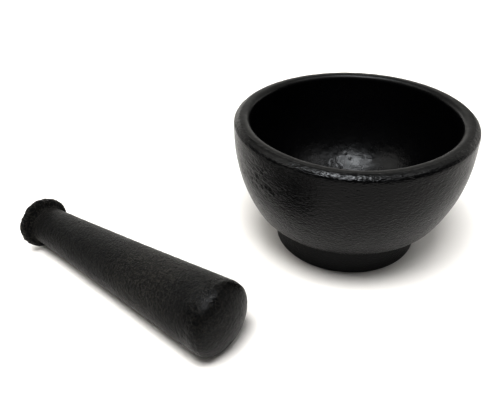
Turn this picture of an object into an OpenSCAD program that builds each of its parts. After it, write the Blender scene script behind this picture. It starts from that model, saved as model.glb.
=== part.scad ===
// Cast iron mortar and pestle, in millimetres.
// The mortar is one casting: a round bowl with a full-round rim, standing on a foot ring.
// The pestle is a second casting: a tapered shaft with a flange at its narrow end and a
// rounded grinding end. It lies on the table beside the mortar.
// The origin is on the mortar's axis at table height, +Z is up, and the pestle points along +X.

/* [Bowl] */
// Largest outer diameter of the bowl
bowl_d = 133; // [125:1:145]
// Height of the rim's top above the table
bowl_h = 79.5; // [76:0.5:84]
// Height at which the bowl is widest
widest_h = 69; // [66:0.5:70]
// Radius of the long arc that forms the bowl's flank
flank_r = 89; // [85:1:95]
// Radius of the arc that turns the flank in under the bowl
shoulder_r = 18; // [15:1:20]

/* [Rim and cavity] */
// Thickness of the wall at the rim
rim_w = 9; // [8.5:0.5:9.5]
// Radius of the rim's crown and outer edge
rim_outer_r = 5; // [5:0.5:6]
// Radius of the rim's inner edge
rim_inner_r = 3; // [2:0.5:3.5]
// Depth of the cavity below the top of the rim
cavity_depth = 61.5; // [56:0.5:64]
// Fullness of the cavity's section: 2 is an ellipse, and more has a flatter floor
cavity_fullness = 2.5; // [2:0.1:2.8]

/* [Foot] */
// Diameter of the foot at the table
foot_d = 84; // [82:1:90]
// Diameter of the foot where it meets the bowl
foot_top_d = 82; // [78:1:84]
// Height at which the foot meets the bowl
foot_h = 17; // [15:0.5:18]
// Radius of the foot's lower edge
foot_edge_r = 1; // [0.5:0.5:2]
// Width of the ring that stands on the table
foot_ring_w = 8; // [6:0.5:10]
// Height of the hollow under the foot
hollow_h = 7; // [4:0.5:9]

/* [Pestle] */
// Length of the pestle over its ends
pestle_l = 151; // [140:1:165]
// Diameter of the grinding end
grinding_d = 38.4; // [36:0.2:42]
// Length of the dome that closes the grinding end
grinding_dome_l = 9; // [6:0.5:14]
// Diameter of the shaft next to the flange
neck_d = 21.4; // [19:0.2:24]
// Diameter of the flange
flange_d = 30.8; // [28:0.2:34]
// Thickness of the flange
flange_t = 5; // [4:0.5:7]
// Radius of the flange's edges
flange_edge_r = 1.5; // [0.5:0.25:2]
// Radius of the fillet between the flange and the shaft
neck_fillet_r = 1.5; // [0.5:0.25:2]

/* [Layout] */
// Distance from the mortar's axis to the pestle's axis
pestle_gap = 119; // [110:1:140]
// Distance from the mortar's axis back to the flange's end face
pestle_back = 143; // [120:1:160]

/* [Hidden] */
$fn = 96;
iron = [0.10, 0.10, 0.105];
ground_iron = [0.15, 0.148, 0.145];

bowl_r = bowl_d / 2;
mouth_r = bowl_r - rim_w;
foot_r = foot_d / 2;
foot_top_r = foot_top_d / 2;

// The crown's arc runs over the top of the rim until it meets the smaller inner arc, which
// touches it from inside and ends on the cavity's wall.
crown_centre = [bowl_r - rim_outer_r, bowl_h - rim_outer_r];
crown_end = 90 + asin((rim_w - rim_outer_r - rim_inner_r) / (rim_outer_r - rim_inner_r));
lip_centre = crown_centre + (rim_outer_r - rim_inner_r) * [cos(crown_end), sin(crown_end)];

// The flank's arc is upright at the widest height. The shoulder's arc touches it from inside
// and passes through the top of the foot, so its centre is where two circles cross.
flank_centre = [bowl_r - flank_r, widest_h];
foot_top = [foot_top_r, foot_h];
to_foot = foot_top - flank_centre;
foot_dist = norm(to_foot);
inner_r = flank_r - shoulder_r;
along = (inner_r * inner_r - shoulder_r * shoulder_r + foot_dist * foot_dist) / (2 * foot_dist);
across = sqrt(inner_r * inner_r - along * along);
shoulder_centre = flank_centre + along * to_foot / foot_dist
    + across * [-to_foot.y, to_foot.x] / foot_dist;
flank_end = atan2(shoulder_centre.y - flank_centre.y, shoulder_centre.x - flank_centre.x);
shoulder_end = atan2(foot_top.y - shoulder_centre.y, foot_top.x - shoulder_centre.x);

// The hollow under the foot has sloped walls and a rounded corner at its roof.
hollow_r = foot_r - foot_ring_w;
hollow_draft = 1;
hollow_corner_r = 3;

// The pestle lies on its flange and on the widest circle of its grinding end, and leans a little.
grinding_r = grinding_d / 2;
neck_r = neck_d / 2;
flange_r = flange_d / 2;
shaft_l = pestle_l - grinding_dome_l;
lean = atan((grinding_r - flange_r) / (shaft_l - flange_edge_r));
flange_axis_h = flange_r * cos(lean) - flange_edge_r * sin(lean);

// Points of an arc from angle a0 to angle a1, in steps of up to 10 degrees and about 2 mm
function arc(centre, r, a0, a1) =
    let (turn = abs(a1 - a0), n = ceil(max(turn / 10, turn * PI / 180 * r / 2)))
    [for (i = [0:n]) let (a = a0 + (a1 - a0) * i / n) centre + r * [cos(a), sin(a)]];

// Quarter of a superellipse with half axes a and b, from its side down to its lowest point
function lower_quarter(top, a, b, power, n) =
    [for (i = [1:n]) let (t = 90 * i / n)
        [a * pow(cos(t), 2 / power), top - b * pow(sin(t), 2 / power)]];

// Section of the mortar from the axis under the foot, up the outside and down the cavity
mortar_section = concat(
    [[0, hollow_h]],
    arc([hollow_r - hollow_draft - hollow_corner_r, hollow_h - hollow_corner_r],
        hollow_corner_r, 90, 0),
    [[hollow_r, 0]],
    arc([foot_r - foot_edge_r, foot_edge_r], foot_edge_r, -90, 0),
    arc(shoulder_centre, shoulder_r, shoulder_end, flank_end),
    arc(flank_centre, flank_r, flank_end, 0),
    arc(crown_centre, rim_outer_r, 0, crown_end),
    arc(lip_centre, rim_inner_r, crown_end, 180),
    lower_quarter(lip_centre.y, mouth_r, lip_centre.y - (bowl_h - cavity_depth),
        cavity_fullness, 28)
);

// Section of the pestle, with its axis along Y and the flange's end face at zero
pestle_section = concat(
    [[0, 0]],
    arc([flange_r - flange_edge_r, flange_edge_r], flange_edge_r, -90, 0),
    arc([flange_r - flange_edge_r, flange_t - flange_edge_r], flange_edge_r, 0, 90),
    arc([neck_r + neck_fillet_r, flange_t + neck_fillet_r], neck_fillet_r, 270, 180),
    [for (i = [0:12]) let (a = 90 * i / 12)
        [grinding_r * cos(a), shaft_l + grinding_dome_l * sin(a)]]
);

module mortar() {
    color(iron)
        rotate_extrude() polygon(mortar_section);
}

module pestle() {
    color(ground_iron)
        translate([-pestle_back, -pestle_gap, flange_axis_h])
            rotate([0, 90 - lean, 0])
                rotate_extrude() polygon(pestle_section);
}

mortar();
pestle();
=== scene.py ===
# Cast iron mortar and pestle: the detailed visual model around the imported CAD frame.
# Each casting is a surface of revolution with the unevenness of cast iron pressed into its mesh.
import itertools
import math

import bpy
import numpy as np
from mathutils import Matrix, Vector


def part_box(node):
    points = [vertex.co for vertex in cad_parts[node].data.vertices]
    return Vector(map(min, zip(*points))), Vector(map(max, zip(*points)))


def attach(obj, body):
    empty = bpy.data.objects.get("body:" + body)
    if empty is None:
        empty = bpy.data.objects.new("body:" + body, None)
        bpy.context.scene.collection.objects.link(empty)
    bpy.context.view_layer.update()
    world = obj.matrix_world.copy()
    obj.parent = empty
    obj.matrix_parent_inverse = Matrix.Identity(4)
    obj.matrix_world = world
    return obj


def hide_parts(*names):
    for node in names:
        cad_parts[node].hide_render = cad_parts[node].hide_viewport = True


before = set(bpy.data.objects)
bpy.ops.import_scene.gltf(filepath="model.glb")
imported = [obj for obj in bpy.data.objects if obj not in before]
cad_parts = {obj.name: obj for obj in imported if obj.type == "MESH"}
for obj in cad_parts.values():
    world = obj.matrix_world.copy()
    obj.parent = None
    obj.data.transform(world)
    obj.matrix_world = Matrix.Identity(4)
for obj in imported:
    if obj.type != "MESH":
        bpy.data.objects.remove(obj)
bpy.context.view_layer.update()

# ------------------------------------------------- sizes, in metres, and the look of the scene
MM = 0.001
mortar_low, mortar_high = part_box("mortar")
BOWL_R = (mortar_high.x - mortar_low.x) / 2
BOWL_H = mortar_high.z
WIDEST_H = 69 * MM
FLANK_R = 89 * MM
SHOULDER_R = 18 * MM
FOOT_R = 42 * MM
FOOT_TOP_R = 41 * MM
FOOT_H = 17 * MM
FOOT_EDGE_R = 1 * MM
FOOT_RING_W = 8 * MM
HOLLOW_H = 7 * MM
HOLLOW_DRAFT = 1 * MM
HOLLOW_CORNER_R = 3 * MM
CAVITY_DEPTH = 61.5 * MM
CAVITY_FULLNESS = 2.5       # 2 is an ellipse, and more has a flatter floor

RIM_W = 9 * MM
RIM_FOOT_H = 75.6 * MM      # where the flank starts to round over into the rim
# the stretches from there up: radius, tilt in degrees where it ends, and step
RIM_STRETCHES = (
    (4 * MM, 14, 0.5 * MM),     # the slow rounding below the outer edge
    (3 * MM, 29, 0.4 * MM),     # the quicker rounding just below the edge
    (0.4 * MM, 44, 0.1 * MM),   # the outer edge itself
    (7.5 * MM, 58, 0.45 * MM),  # the nearly flat band above the edge
)
CROWN_END_TILT = 100        # where the rim's crown gives way to its inner lip
RIM_DIP = 1.2 * MM          # how much the rim was dressed down in front
RIM_DIP_AZIMUTH = -56
RIM_DIP_SPREAD = 32         # in degrees to each side
RIM_DIP_ZONE = (60 * MM, 76 * MM)   # heights over which the wall comes to follow the rim

PESTLE_L = 151 * MM
GRINDING_R = 19.2 * MM
GRINDING_DOME_L = 9 * MM
NECK_R = 10.7 * MM
NECK_FILLET_R = 1.6 * MM
NECK_SWELL = 0.3 * MM       # how much fuller the shaft is at the neck than its straight taper
WAIST = 0.15 * MM           # how much slimmer it is halfway
FLANGE_R = 15.4 * MM
FLANGE_T = 5 * MM
FLANGE_EDGE_R = 1.5 * MM
FLANGE_SOFT_R = 2.4 * MM    # the flange's edge towards the shaft
CREASE_L = 144.4 * MM       # from the flange's face to the crease around the grinding face
SIDE_R = 12 * MM            # the shaft's turn inwards just before the crease
SIDE_TILT = 19
# the stretches from the shaft to the grinding face: radius, end tilt and step, as above
END_STRETCHES = (
    (SIDE_R, SIDE_TILT, 0.5 * MM),
    (1 * MM, 40, 0.15 * MM),    # the crease itself
    (9.1 * MM, 62, 0.6 * MM),   # the turn into the grinding face
)
PESTLE_GAP = 119 * MM       # from the mortar's axis to the pestle's
PESTLE_BACK = 143 * MM      # from the mortar's axis back to the flange's end face

MORTAR_AROUND = 400         # points in each mesh's widest ring
PESTLE_AROUND = 176

# the camera's place and its angles in degrees fit the outlines of both pieces in the photo
CAMERA_PLACE = (0.12276, -0.24784, 0.20464)
CAMERA_AZIMUTH = 38.6
CAMERA_PITCH = 33.765
CAMERA_ROLL = -1.675
LENS_MM = 38.46
SENSOR_W_MM = 36
CLIP_START = 10 * MM
FLOOR_SIZE = 2.6
SOFTBOX_DISTANCE = 2.6

FLOOR_COLOUR = (0.945, 0.93, 0.91, 1)
WARM = (1, 0.985, 0.95)
COOL = (0.95, 0.975, 1)
WHITE = (1, 1, 1)
ROOM_RADIANCE = 0.05
VIEW_GAMMA = 0.7            # deepens the darks, as in the photo


# ---------------------------------------------------------------- camera, floor and light
def make_camera():
    data = bpy.data.cameras.new("camera")
    data.lens = LENS_MM
    data.sensor_width = SENSOR_W_MM
    data.clip_start = CLIP_START
    camera = bpy.data.objects.new("camera", data)
    camera.matrix_world = (
        Matrix.Translation(CAMERA_PLACE)
        @ Matrix.Rotation(math.radians(CAMERA_AZIMUTH), 4, "Z")
        @ Matrix.Rotation(math.pi / 2 - math.radians(CAMERA_PITCH), 4, "X")
        @ Matrix.Rotation(math.radians(CAMERA_ROLL), 4, "Z"))
    bpy.context.scene.collection.objects.link(camera)
    bpy.context.scene.camera = camera


def towards(azimuth, elevation, distance):
    """A point at an elevation, and at an azimuth counted from the camera's side of the object."""
    a = math.radians(CAMERA_AZIMUTH - 90 + azimuth)
    e = math.radians(elevation)
    return distance * np.array([math.cos(a) * math.cos(e), math.sin(a) * math.cos(e), math.sin(e)])


def softbox(name, azimuth, elevation, size, radiance, colour=WHITE, diffuse=True, glossy=True):
    """A rectangular area light that faces the origin; its power follows from its radiance.

    diffuse and glossy say whether it lights matt surfaces and whether it shows in reflections.
    """
    data = bpy.data.lights.new(name, "AREA")
    data.color = colour
    data.shape = "RECTANGLE"
    data.size, data.size_y = size
    data.energy = radiance * math.pi * size[0] * size[1]
    light = bpy.data.objects.new(name, data)
    place = towards(azimuth, elevation, SOFTBOX_DISTANCE)
    light.location = place
    light.rotation_mode = "QUATERNION"
    light.rotation_quaternion = Vector(-place).to_track_quat("-Z", "Y")
    light.visible_camera = False
    light.visible_diffuse = diffuse
    light.visible_glossy = glossy
    bpy.context.scene.collection.objects.link(light)


def make_floor():
    bpy.ops.mesh.primitive_plane_add(size=FLOOR_SIZE, location=(0, 0, 0))
    floor = bpy.context.object
    floor.name = "floor"
    material = bpy.data.materials.new("floor_white")
    material.use_nodes = True
    shader = material.node_tree.nodes["Principled BSDF"]
    shader.inputs["Base Color"].default_value = FLOOR_COLOUR
    shader.inputs["Roughness"].default_value = 0.9
    shader.inputs["Specular IOR Level"].default_value = 0.1
    floor.data.materials.append(material)


def make_world():
    """A dim even room, seen by the camera as a white backdrop."""
    world = bpy.data.worlds.new("studio")
    bpy.context.scene.world = world
    world.use_nodes = True
    nodes, links = world.node_tree.nodes, world.node_tree.links
    room = nodes["Background"]
    room.inputs["Color"].default_value = (1, 1, 1, 1)
    room.inputs["Strength"].default_value = ROOM_RADIANCE
    backdrop = nodes.new("ShaderNodeBackground")
    backdrop.inputs["Color"].default_value = (1, 1, 1, 1)
    path = nodes.new("ShaderNodeLightPath")
    mix = nodes.new("ShaderNodeMixShader")
    links.new(path.outputs["Is Camera Ray"], mix.inputs["Fac"])
    links.new(room.outputs["Background"], mix.inputs[1])
    links.new(backdrop.outputs["Background"], mix.inputs[2])
    links.new(mix.outputs["Shader"], nodes["World Output"].inputs["Surface"])


make_camera()
make_floor()
make_world()
# the key light is split: one softbox lights what is matt, the other only shows in reflections
softbox("key", azimuth=-23, elevation=72, size=(1.25, 0.95), radiance=18.5, glossy=False)
softbox("key_reflection", azimuth=-30, elevation=79.5, size=(1.0, 0.9), radiance=24,
        colour=COOL, diffuse=False)
softbox("front_fill", azimuth=-25, elevation=38, size=(1.4, 0.9), radiance=2, colour=WARM, glossy=False)
softbox("top_fill", azimuth=75, elevation=60, size=(1.2, 0.9), radiance=3.9)
softbox("side_fill", azimuth=-100, elevation=52, size=(1.4, 1.0), radiance=3.6, colour=WARM)
softbox("back_fill", azimuth=150, elevation=36, size=(2.8, 1.2), radiance=0.9, colour=WARM)
# low cards behind and beside the object give the castings their pale outer edges
softbox("back_card", azimuth=180, elevation=12, size=(2.4, 0.9), radiance=2.0, colour=WARM)
softbox("left_card", azimuth=-140, elevation=13, size=(2.2, 0.9), radiance=2.0, colour=WARM)
softbox("right_card", azimuth=115, elevation=13, size=(2.2, 0.9), radiance=1.85, colour=WARM)
view = bpy.context.scene.view_settings
view.view_transform = "Standard"
view.gamma = VIEW_GAMMA


# ---------------------------------------------------------------- outlines
def arc(centre, r, start, end, step):
    """Points of an arc between two angles in degrees, about a step apart."""
    n = max(2, math.ceil(math.radians(abs(end - start)) * r / step))
    a = np.radians(np.linspace(start, end, n + 1))
    return np.column_stack((centre[0] + r * np.cos(a), centre[1] + r * np.sin(a)))


def bend(start, r, tilt, end_tilt, step):
    """Points of an arc from a start point, as the surface's tilt turns from one angle to another."""
    turn = math.radians(tilt)
    centre = (start[0] - r * math.cos(turn), start[1] - r * math.sin(turn))
    return arc(centre, r, tilt, end_tilt, step)


def bends(start, stretches):
    """Arcs that follow each other from an upright start, each given as radius, end tilt and step.

    Gives the arcs, and the point and the tilt where the last one ends.
    """
    arcs = []
    tilt = 0
    for r, end_tilt, step in stretches:
        arcs.append(bend(start, r, tilt, end_tilt, step))
        start = arcs[-1][-1]
        tilt = end_tilt
    return arcs, start, tilt


def line(start, end, step):
    """Points of a straight line, about a step apart."""
    n = max(1, math.ceil(math.dist(start, end) / step))
    return np.linspace(start, end, n + 1)


def superellipse(top, a, b, power, step):
    """The lower quarter of a superellipse, from its side to its lowest point, a step apart."""
    t = np.linspace(0, math.pi / 2, 2000)
    across = a * np.cos(t).clip(0) ** (2 / power)
    fine = np.column_stack((across, top - b * np.sin(t) ** (2 / power)))
    run = np.concatenate(([0], np.hypot(*np.diff(fine, axis=0).T).cumsum()))
    even = np.linspace(0, run[-1], math.ceil(run[-1] / step) + 1)
    return np.column_stack([np.interp(even, run, fine[:, k]) for k in (0, 1)])


def join(*stretches):
    """One outline from stretches that each start where the last one ends."""
    points = np.concatenate(stretches)
    gap = np.hypot(*np.diff(points, axis=0).T)
    return points[np.concatenate(([True], gap > 1e-6))]


def rim_outline():
    """From the top of the flank over the rim to the cavity's wall."""
    outside, start, tilt = bends((BOWL_R, RIM_FOOT_H), RIM_STRETCHES)
    crown_r = (BOWL_H - start[1]) / (1 - math.sin(math.radians(tilt)))
    crown = bend(start, crown_r, tilt, CROWN_END_TILT, step=0.5 * MM)
    lip_r = (crown[-1][0] - (BOWL_R - RIM_W)) / (1 + math.cos(math.radians(CROWN_END_TILT)))
    lip = bend(crown[-1], lip_r, CROWN_END_TILT, 180, step=0.45 * MM)
    return join(*outside, crown, lip)


def mortar_outline():
    """From the axis under the foot, up the outside, over the rim and down the cavity."""
    # the shoulder touches the flank from inside and passes through the top of the foot, so its
    # centre is where two circles cross
    flank = np.array([BOWL_R - FLANK_R, WIDEST_H])
    to_foot = np.array([FOOT_TOP_R, FOOT_H]) - flank
    span = np.hypot(*to_foot)
    inner_r = FLANK_R - SHOULDER_R
    along = (inner_r ** 2 - SHOULDER_R ** 2 + span ** 2) / (2 * span)
    across = math.sqrt(inner_r ** 2 - along ** 2)
    shoulder = flank + (along * to_foot + across * np.array([-to_foot[1], to_foot[0]])) / span
    flank_end = math.degrees(math.atan2(shoulder[1] - flank[1], shoulder[0] - flank[0]))
    shoulder_end = math.degrees(math.atan2(FOOT_H - shoulder[1], FOOT_TOP_R - shoulder[0]))
    hollow_r = FOOT_R - FOOT_RING_W
    corner = np.array([hollow_r - HOLLOW_DRAFT - HOLLOW_CORNER_R, HOLLOW_H - HOLLOW_CORNER_R])
    rim = rim_outline()
    wall_top = rim[-1][1]
    cavity_h = wall_top - (BOWL_H - CAVITY_DEPTH)
    return join(
        line((0, HOLLOW_H), (corner[0], HOLLOW_H), step=1.6 * MM),
        arc(corner, HOLLOW_CORNER_R, 90, 0, step=0.8 * MM),
        line((corner[0] + HOLLOW_CORNER_R, corner[1]), (hollow_r, 0), step=1 * MM),
        line((hollow_r, 0), (FOOT_R - FOOT_EDGE_R, 0), step=1.2 * MM),
        arc((FOOT_R - FOOT_EDGE_R, FOOT_EDGE_R), FOOT_EDGE_R, -90, 0, step=0.4 * MM),
        line((FOOT_R, FOOT_EDGE_R), (FOOT_TOP_R, FOOT_H), step=1.2 * MM),
        arc(shoulder, SHOULDER_R, shoulder_end, flank_end, step=0.75 * MM),
        arc(flank, FLANK_R, flank_end, 0, step=0.72 * MM),
        line((BOWL_R, WIDEST_H), (BOWL_R, RIM_FOOT_H), step=0.65 * MM),
        rim,
        superellipse(wall_top, BOWL_R - RIM_W, cavity_h, CAVITY_FULLNESS, step=0.95 * MM))


def waisted(shaft):
    """The shaft's straight taper, a little fuller at the neck and slimmer along the middle."""
    t = np.linspace(0, 1, len(shaft))
    shaft[:, 0] += NECK_SWELL * (1 - t) ** 4 - WAIST * np.sin(math.pi * t) ** 2
    return shaft


def pestle_outline():
    """From the flange's end face along the shaft to the grinding end; radius, then distance."""
    flat_r = FLANGE_R - FLANGE_EDGE_R
    soft_r = FLANGE_R - FLANGE_SOFT_R
    fillet_r = NECK_R + NECK_SWELL + NECK_FILLET_R
    fillet_l = FLANGE_T + NECK_FILLET_R
    widest = (GRINDING_R, CREASE_L - SIDE_R * math.sin(math.radians(SIDE_TILT)))
    grinding_end, start, tilt = bends(widest, END_STRETCHES)
    face_r = start[0] / math.cos(math.radians(tilt))
    return join(
        line((0, 0), (flat_r, 0), step=0.7 * MM),
        arc((flat_r, FLANGE_EDGE_R), FLANGE_EDGE_R, -90, 0, step=0.35 * MM),
        line((FLANGE_R, FLANGE_EDGE_R), (FLANGE_R, FLANGE_T - FLANGE_SOFT_R), step=0.4 * MM),
        arc((soft_r, FLANGE_T - FLANGE_SOFT_R), FLANGE_SOFT_R, 0, 90, step=0.35 * MM),
        line((soft_r, FLANGE_T), (fillet_r, FLANGE_T), step=0.4 * MM),
        arc((fillet_r, fillet_l), NECK_FILLET_R, 270, 180, step=0.35 * MM),
        waisted(line((NECK_R, fillet_l), widest, step=0.55 * MM)),
        *grinding_end,
        bend(start, face_r, tilt, 90, step=0.7 * MM))


# ---------------------------------------------------------------- surfaces of revolution
def strip(a, b):
    """Faces between two rings of vertex numbers, one of which may have twice as many as the other."""
    if len(a) == len(b):
        return [(a[i - 1], a[i], b[i], b[i - 1]) for i in range(len(a))]
    if len(a) < len(b):
        return [face[::-1] for face in strip(b, a)]
    faces = []
    for i in range(len(b)):
        a0, a1, a2 = a[2 * i], a[2 * i + 1], a[(2 * i + 2) % len(a)]
        b0, b1 = b[i], b[(i + 1) % len(b)]
        faces += [(a0, a1, b0), (a1, b1, b0), (a1, a2, b1)]
    return faces


def revolve(name, outline, around, relief):
    """A closed surface about Z, from an outline that starts and ends on the axis.

    A ring has half as many points each time its radius halves, so the cells stay even, down to
    the rings near the axis, which all have the same number.
    relief gives each point's height above the true surface in millimetres, from its place, its
    normal and its distance along the outline.
    """
    slope = np.gradient(outline, axis=0)
    slope /= np.hypot(*slope.T)[:, None]
    run = np.concatenate(([0], np.hypot(*np.diff(outline, axis=0).T).cumsum()))
    widest = outline[:, 0].max()
    smallest = widest / 30
    rings, points, normals, along = [], [], [], []
    for (r, z), (slope_r, slope_z), distance in zip(outline[1:-1], slope[1:-1], run[1:-1]):
        n = around >> int(math.log2(widest / max(r, smallest)))
        turn = np.arange(n) * 2 * math.pi / n
        rings.append([len(points) + i for i in range(n)])
        points += zip(r * np.cos(turn), r * np.sin(turn), [z] * n)
        normals += zip(slope_z * np.cos(turn), slope_z * np.sin(turn), [-slope_r] * n)
        along += [distance] * n
    points += [(0, 0, outline[0, 1]), (0, 0, outline[-1, 1])]
    normals += [(0, 0, -1), (0, 0, 1)]
    along += [run[0], run[-1]]
    first, last = len(points) - 2, len(points) - 1
    faces = [face for a, b in zip(rings, rings[1:]) for face in strip(a, b)]
    faces += [(first, rings[0][i], rings[0][i - 1]) for i in range(len(rings[0]))]
    faces += [(last, rings[-1][i - 1], rings[-1][i]) for i in range(len(rings[-1]))]
    points, normals = np.array(points), np.array(normals)
    points += normals * relief(points / MM, normals, np.array(along) / MM)[:, None] * MM
    mesh = bpy.data.meshes.new(name)
    mesh.from_pydata(points.tolist(), [], faces)
    mesh.polygons.foreach_set("use_smooth", [True] * len(mesh.polygons))
    piece = bpy.data.objects.new(name, mesh)
    bpy.context.scene.collection.objects.link(piece)
    return piece


def dip_rim(piece):
    """Lower the rim in front, where it was dressed down, and let the wall below follow."""
    flat = np.empty(3 * len(piece.data.vertices))
    piece.data.vertices.foreach_get("co", flat)
    x, y, z = flat[0::3], flat[1::3], flat[2::3]
    turn = np.degrees(np.arctan2(y, x)) - RIM_DIP_AZIMUTH
    turn = (turn + 180) % 360 - 180
    flat[2::3] -= RIM_DIP * np.exp(-(turn / RIM_DIP_SPREAD) ** 2) * ramp(z, *RIM_DIP_ZONE)
    piece.data.vertices.foreach_set("co", flat)
    piece.data.update()


# ------------------------------------------------- unevenness of the castings, in millimetres
rng = np.random.default_rng(11)
GRADIENTS = rng.normal(size=(4096, 3))
GRADIENTS /= np.linalg.norm(GRADIENTS, axis=1)[:, None]
CELL_HASH = np.array([73856093, 19349663, 83492791])
NOISE_GAIN = 1.6            # brings the noise to about -1 to 1

# heights between which one part of the mortar's surface gives way to the next
STANDING_ZONE = (0.3, 3)    # from the ring that stands on the table to the rest
CAVITY_ZONE = (12, 17)
OUTSIDE_ZONE = (17, 19)
EDGE_ZONE = (75.2, 76.4)
RIM_ZONE = (75.6, 77.2)
TOP_ZONE = (77.8, 78.8)

# the coarse patch on the flank: azimuth and height, and its spread in degrees and in height
PATCH_AZIMUTH = -103
PATCH_H = 61
PATCH_SPREAD = (17, 8)

# the rough cluster in the cavity: place and size
CLUSTER = ((-28, 26, 28), 7.5)

# single marks in the cavity: place, size and rise
CAVITY_MARKS = [
    ((-18, 36, 29), 0.9, 0.35),
    ((-22, 36.5, 31), 0.9, 0.3),
    ((-27, 39, 37), 0.9, 0.3),
    ((-4, 41, 30), 1.6, -0.25),
]

# single marks on the skin: azimuth, height and distance from the axis, then size and rise
SKIN_MARKS = [
    (-66.3, 61.8, 66.2, 0.7, -0.5),
    (-23.8, 76.6, 66.1, 0.6, 0.3),
    (-164.6, 78.9, 63.9, 0.9, -0.45),
    (-162.5, 78.6, 64.3, 0.8, -0.35),
    (35, 78.9, 63.9, 0.9, -0.4),
]

# single marks on the pestle, still along Z with its upper side at -X: place, size and rise
PESTLE_MARKS = [
    ((-17.6, -7.4, 144.2), 3.4, -0.6),      # the worn spot on the crease
    ((-15.2, 0.5, 2.4), 1.4, 0.6),
    ((-13.6, -6, 3.4), 1.6, 0.5),
    ((-10.6, -5.2, 6), 2.0, -0.7),
    ((-9, -8, 6.4), 1.6, -0.5),
    ((0, -15, 2.5), 2.0, -0.4),
]
NECK_ZONE = (6, 8.5)        # from the flange's rough skin to the turned shaft
PESTLE_INSET = 0.02         # keeps the pestle's mesh clear of the table


def noise(points):
    """Smooth gradient noise from about -1 to 1, with one cell per unit of length."""
    cell = np.floor(points).astype(np.int64)
    part = points - cell
    ease = part ** 3 * (part * (part * 6 - 15) + 10)
    total = np.zeros(len(points))
    for corner in itertools.product((0, 1), repeat=3):
        key = (cell + corner) @ CELL_HASH % len(GRADIENTS)
        height = (GRADIENTS[key] * (part - corner)).sum(axis=1)
        total += height * np.where(corner, ease, 1 - ease).prod(axis=1)
    return NOISE_GAIN * total


def lumps(points, size, shift=0):
    """Noise with lumps of about one size; each layer has a shift of its own, so none line up."""
    return noise(points / size + shift)


def ramp(value, low, high):
    """From 0 at low to 1 at high, with soft ends."""
    t = np.clip((value - low) / (high - low), 0, 1)
    return t * t * (3 - 2 * t)


def near(points, place, size):
    """1 at a place, falling off over a size."""
    return np.exp(-(((points - place) / size) ** 2).sum(axis=1))


def around_axis(azimuth, height, radius):
    """A point from its azimuth in degrees, its height and its distance from the axis."""
    a = math.radians(azimuth)
    return np.array([radius * math.cos(a), radius * math.sin(a), height])


def within(relief, sharpness=20):
    """The same relief, softly held below the true surface."""
    return -np.log1p(np.exp(-sharpness * relief)) / sharpness


def mortar_relief(p, normal, along):
    """Height of the mortar's cast skin at points p, in millimetres like everything here."""
    radius = np.hypot(p[:, 0], p[:, 1])
    height = p[:, 2]
    azimuth = np.degrees(np.arctan2(p[:, 1], p[:, 0]))
    facing_out = (normal[:, :2] * p[:, :2]).sum(axis=1) / np.maximum(radius, 0.1)
    rim = ramp(height, *RIM_ZONE)
    outside = ramp(facing_out, 0, 0.3) * ramp(height, *OUTSIDE_ZONE) * (1 - rim)
    cavity = ramp(normal[:, 2] - facing_out, 0.2, 0.7) * ramp(height, *CAVITY_ZONE) * (1 - rim)
    standing = ramp(height, *STANDING_ZONE)
    # slow unevenness everywhere but on the ring that stands on the table
    relief = standing * (0.12 * lumps(p, 26) + 0.07 * lumps(p, 10, 7))
    # orange peel on the outside, drawn out around the bowl
    warped = along + 1.6 * lumps(p, 7, 31)
    peel = np.column_stack((p[:, :2] / 2.6, warped / 1.2))
    relief += outside * (0.09 * noise(peel) + 0.05 * lumps(p, 1.7, 3))
    # a coarser patch with lumps and pits
    turned = (azimuth - PATCH_AZIMUTH) / PATCH_SPREAD[0]
    raised = (height - PATCH_H) / PATCH_SPREAD[1]
    coarse = outside * np.exp(-turned ** 2 - raised ** 2)
    relief += coarse * (0.34 * lumps(p, 1.6, 50) - 0.45 * ramp(lumps(p, 1.9, 90), 0.1, 0.5))
    # the rim's outer edge, wavy all the way round
    edge = ramp(height, *EDGE_ZONE) * ramp(facing_out, 0.5, 0.7)
    relief += edge * 0.12 * noise(np.column_stack((azimuth / 6, np.full((len(p), 2), 0.5))))
    # the rim's top, dressed by hand, with marks dragged along it
    top = ramp(height, *TOP_ZONE)
    relief += top * (0.07 * lumps(p, 3.2, 13) + 0.04 * lumps(p, 1.6, 17))
    dragged = np.column_stack((azimuth / 1.4 + radius / 1.5, radius / 4, height / 4))
    relief += 0.05 * top * noise(dragged)
    # cavity: low ripples along the wall, and a rough cluster with a few single bumps
    ripple = np.column_stack((p[:, :2] / 4.5, warped / 2.4))
    relief += cavity * (0.08 * noise(ripple) + 0.04 * lumps(p, 2.4, 61))
    relief += cavity * near(p, *CLUSTER) * (0.24 * lumps(p, 1.7, 71) + 0.22 * lumps(p, 1.3, 75))
    for place, size, rise in CAVITY_MARKS:
        relief += cavity * rise * near(p, place, size)
    for place_azimuth, place_height, place_radius, size, rise in SKIN_MARKS:
        relief += rise * near(p, around_axis(place_azimuth, place_height, place_radius), size)
    # the skin stays inside the CAD solid; the cavity and the standing ring keep their own relief
    skin = (1 - cavity) * standing
    inset = 0.05 + 0.03 * outside + 0.16 * coarse
    return skin * within(relief - inset) + (1 - skin) * relief


def pestle_relief(p, normal, along):
    """Height of the pestle's cast skin at points p, which lie around Z with the flange at zero."""
    distance = p[:, 2]
    flange = 1 - ramp(distance, *NECK_ZONE)
    shaft = 1 - flange
    relief = 0.12 * lumps(p, 22, 5) + 0.07 * lumps(p, 8, 9)
    relief += shaft * (0.05 * lumps(p, 2.6, 21) + 0.17 * lumps(p, 1.4, 27))
    # low rings left by turning
    relief += shaft * 0.05 * noise(np.column_stack((p[:, :2] / 9, distance / 1.4)))
    relief += flange * (0.5 * lumps(p, 3.8, 33) + 0.4 * lumps(p, 1.8, 37))
    relief = within(relief - 0.11 - 0.2 * flange) - PESTLE_INSET
    for place, size, rise in PESTLE_MARKS:
        relief += rise * near(p, place, size)
    return relief


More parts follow.
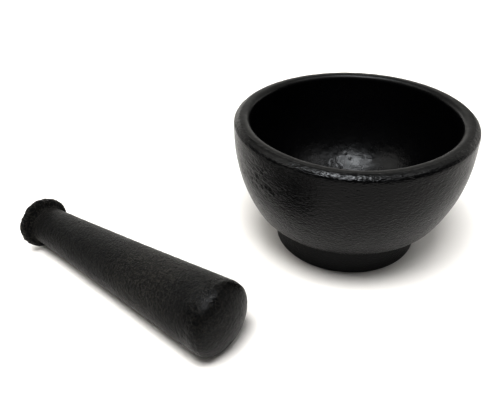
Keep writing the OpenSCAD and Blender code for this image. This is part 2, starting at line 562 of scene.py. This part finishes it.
# ---------------------------------------------------------------- materials
def add(tree, kind, settings=(), **sockets):
    """A shader node; a socket is given a value or another node's output."""
    new = tree.nodes.new("ShaderNode" + kind)
    for key, value in dict(settings).items():
        setattr(new, key, value)
    for key, value in sockets.items():
        socket = new.inputs[key.replace("_", " ")]
        if isinstance(value, bpy.types.NodeSocket):
            tree.links.new(value, socket)
        else:
            socket.default_value = value
    return new


def millimetres(tree):
    """Object coordinates counted in millimetres."""
    place = add(tree, "TexCoord").outputs["Object"]
    scaled = add(tree, "VectorMath", {"operation": "SCALE"}, Vector=place, Scale=1000)
    return scaled.outputs["Vector"]


def grain(tree, place, size, stretch=(1, 1, 1), detail=2, roughness=0.5):
    """Noise from about 0 to 1 whose lumps are about one size, in millimetres."""
    scale = tuple(1 / (size * k) for k in stretch)
    mapped = add(tree, "Mapping", Vector=place, Scale=scale).outputs["Vector"]
    texture = add(tree, "TexNoise", Vector=mapped, Scale=1, Detail=detail, Roughness=roughness)
    return texture.outputs["Fac"]


def remap(tree, value, low, high, to_low, to_high):
    """A value's stretch from low to high, softly turned into to_low to to_high."""
    settings = {"interpolation_type": "SMOOTHSTEP"}
    sockets = {"From Min": low, "From Max": high, "To Min": to_low, "To Max": to_high}
    return add(tree, "MapRange", settings, Value=value, **sockets).outputs["Result"]


def math_node(tree, operation, a, b):
    new = add(tree, "Math", {"operation": operation})
    for socket, value in zip(new.inputs, (a, b)):
        if isinstance(value, bpy.types.NodeSocket):
            tree.links.new(value, socket)
        else:
            socket.default_value = value
    return new.outputs["Value"]


def times(tree, a, b):
    return math_node(tree, "MULTIPLY", a, b)


def plus(tree, a, b):
    return math_node(tree, "ADD", a, b)


def blend_colours(tree, value, stops):
    """A colour from a value, between stops that each have a place and a colour."""
    new = add(tree, "ValToRGB", Fac=value)
    while len(new.color_ramp.elements) < len(stops):
        new.color_ramp.elements.new(0.5)
    for element, (place, colour) in zip(new.color_ramp.elements, stops):
        element.position = place
        element.color = (*colour, 1)
    return new.outputs["Color"]


def relief_bump(tree, layers):
    """Fine relief from layers of a height from 0 to 1 and its depth in millimetres."""
    normal = None
    for height, depth in layers:
        bump = add(tree, "Bump", Height=height, Distance=depth * MM, Strength=1)
        if normal:
            tree.links.new(normal, bump.inputs["Normal"])
        normal = bump.outputs["Normal"]
    return normal


def outward(tree):
    """1 where the surface faces away from the Z axis, 0 where it faces the axis, up or down."""
    coordinates = add(tree, "TexCoord")
    from_axis = add(tree, "VectorMath", {"operation": "MULTIPLY"}, Vector=coordinates.outputs["Object"])
    from_axis.inputs[1].default_value = (1, 1, 0)
    facing = add(tree, "VectorMath", {"operation": "DOT_PRODUCT"})
    tree.links.new(from_axis.outputs["Vector"], facing.inputs[0])
    tree.links.new(coordinates.outputs["Normal"], facing.inputs[1])
    return remap(tree, facing.outputs["Value"], *OUTWARD_BLEND, 0, 1)


def iron(name, specular):
    """A new material; its node tree, its shader and its coordinates."""
    material = bpy.data.materials.new(name)
    material.use_nodes = True
    tree = material.node_tree
    shader = tree.nodes["Principled BSDF"]
    shader.inputs["Specular IOR Level"].default_value = specular
    return material, tree, shader, millimetres(tree)


# colours from bare to dressed or flecked iron
MORTAR_TONES = ((0, (0.0028, 0.0029, 0.0034)), (1, (0.016, 0.016, 0.0155)))
PESTLE_TONES = (
    (0, (0.0035, 0.0037, 0.0042)), (0.5, (0.018, 0.0168, 0.0145)), (1, (0.05, 0.046, 0.039)))
MOTTLE_RANGE = (0.3, 0.7)   # the middle of the mottle noise, where nearly all its values lie

# distance from the axis times the share of the normal that points away from it
OUTWARD_BLEND = (5 * MM, 20 * MM)

# heights on the mortar between which its finish changes, in millimetres
FOOT_BLEND = (16, 18)
RIM_SKIN_BLEND = (74, 76)
DRESSED_BLEND = (77.2, 78.4)

# places along X on the lying pestle between which its finish changes, in millimetres
RUST_BLEND = (-138, -126)
FLANGE_BLEND = (-137.5, -135)
HANDLED_START = (-76, -46)
HANDLED_END = (-32, -10)
POLISH_BLEND = (-14, -5)


def mortar_iron():
    """Black seasoned iron: satin on the skin, dull and greyer where the rim was dressed."""
    material, tree, shader, place = iron("mortar_iron", 0.33)
    height = add(tree, "SeparateXYZ", Vector=place).outputs["Z"]
    mottle = grain(tree, place, 9, detail=4)
    dressed = remap(tree, height, *DRESSED_BLEND, 0, 1)
    worn = times(tree, dressed, remap(tree, mottle, *MOTTLE_RANGE, 0.7, 1))
    tree.links.new(blend_colours(tree, worn, MORTAR_TONES), shader.inputs["Base Color"])
    # rougher on the foot, on the dressed rim and in the cavity
    foot = remap(tree, height, *FOOT_BLEND, 0.1, 0)
    patchy = remap(tree, mottle, *MOTTLE_RANGE, 0.19, 0.25)
    dull = times(tree, dressed, 0.12)
    skin = outward(tree)
    inside = remap(tree, skin, 0, 1, 0.06, 0)
    rough = plus(tree, plus(tree, dull, foot), plus(tree, patchy, inside))
    tree.links.new(rough, shader.inputs["Roughness"])
    # ripples only on the outside; pores everywhere, shallower in the cavity and on the rim
    ripples = times(tree, skin, grain(tree, place, 0.8, stretch=(2.4, 2.4, 1), detail=1))
    pores = grain(tree, place, 1.1, detail=3, roughness=0.65)
    pores = times(tree, pores, remap(tree, skin, 0, 1, 0.6, 1))
    pores = times(tree, pores, remap(tree, height, *RIM_SKIN_BLEND, 1, 0.55))
    tree.links.new(relief_bump(tree, ((ripples, 0.3), (pores, 0.24))), shader.inputs["Normal"])
    return material


def pestle_iron():
    """Dry dark iron, browner and flecked where it is handled, with fine rings left by turning."""
    material, tree, shader, place = iron("pestle_iron", 0.28)
    along = add(tree, "SeparateXYZ", Vector=place).outputs["X"]
    mottle = grain(tree, place, 12, detail=5, roughness=0.6)
    handled_from = remap(tree, along, *HANDLED_START, 0, 1)
    handled = times(tree, handled_from, remap(tree, along, *HANDLED_END, 1, 0))
    dry = times(tree, handled, remap(tree, mottle, 0.3, 0.65, 0.4, 1))
    flecks = remap(tree, grain(tree, place, 1.0, detail=1, roughness=0.5), 0.48, 0.6, 0, 1)
    flecked = times(tree, flecks, remap(tree, handled, 0, 1, 0.5, 0.7))
    rusty = times(tree, flecks, remap(tree, along, *RUST_BLEND, 0.6, 0))
    value = plus(tree, times(tree, dry, 0.18), plus(tree, flecked, rusty))
    tree.links.new(blend_colours(tree, value, PESTLE_TONES), shader.inputs["Base Color"])
    # rougher on the flange, and polished by use from just before the crease on
    patchy = remap(tree, mottle, *MOTTLE_RANGE, 0.32, 0.4)
    flange = remap(tree, along, *FLANGE_BLEND, 0.1, 0)
    polished = remap(tree, along, *POLISH_BLEND, 0, -0.08)
    rough = plus(tree, plus(tree, patchy, flange), polished)
    tree.links.new(rough, shader.inputs["Roughness"])
    # turned rings, and pores that are deepest on the flange and shallowest at the grinding end
    rings = grain(tree, place, 0.8, stretch=(1, 3.5, 3.5), detail=2)
    pores = grain(tree, place, 0.8, detail=3, roughness=0.7)
    pores = times(tree, pores, remap(tree, along, *FLANGE_BLEND, 1, 0.6))
    pores = times(tree, pores, remap(tree, along, *POLISH_BLEND, 1, 0.4))
    tree.links.new(relief_bump(tree, ((rings, 0.16), (pores, 1.3))), shader.inputs["Normal"])
    return material


# ---------------------------------------------------------------- the two castings
mortar = revolve("mortar_casting", mortar_outline(), MORTAR_AROUND, mortar_relief)
dip_rim(mortar)
mortar.data.materials.append(mortar_iron())
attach(mortar, "mortar")
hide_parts("mortar")

# the pestle leans as its CAD solid does, which lies on its flange and its widest ring
shaft_l = PESTLE_L - GRINDING_DOME_L
lean = math.atan((GRINDING_R - FLANGE_R) / (shaft_l - FLANGE_EDGE_R))
flange_axis_h = FLANGE_R * math.cos(lean) - FLANGE_EDGE_R * math.sin(lean)
pestle = revolve("pestle_casting", pestle_outline(), PESTLE_AROUND, pestle_relief)
pestle.data.transform(
    Matrix.Translation((-PESTLE_BACK, -PESTLE_GAP, flange_axis_h))
    @ Matrix.Rotation(math.pi / 2 - lean, 4, "Y"))
pestle.data.materials.append(pestle_iron())
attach(pestle, "pestle")
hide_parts("pestle")
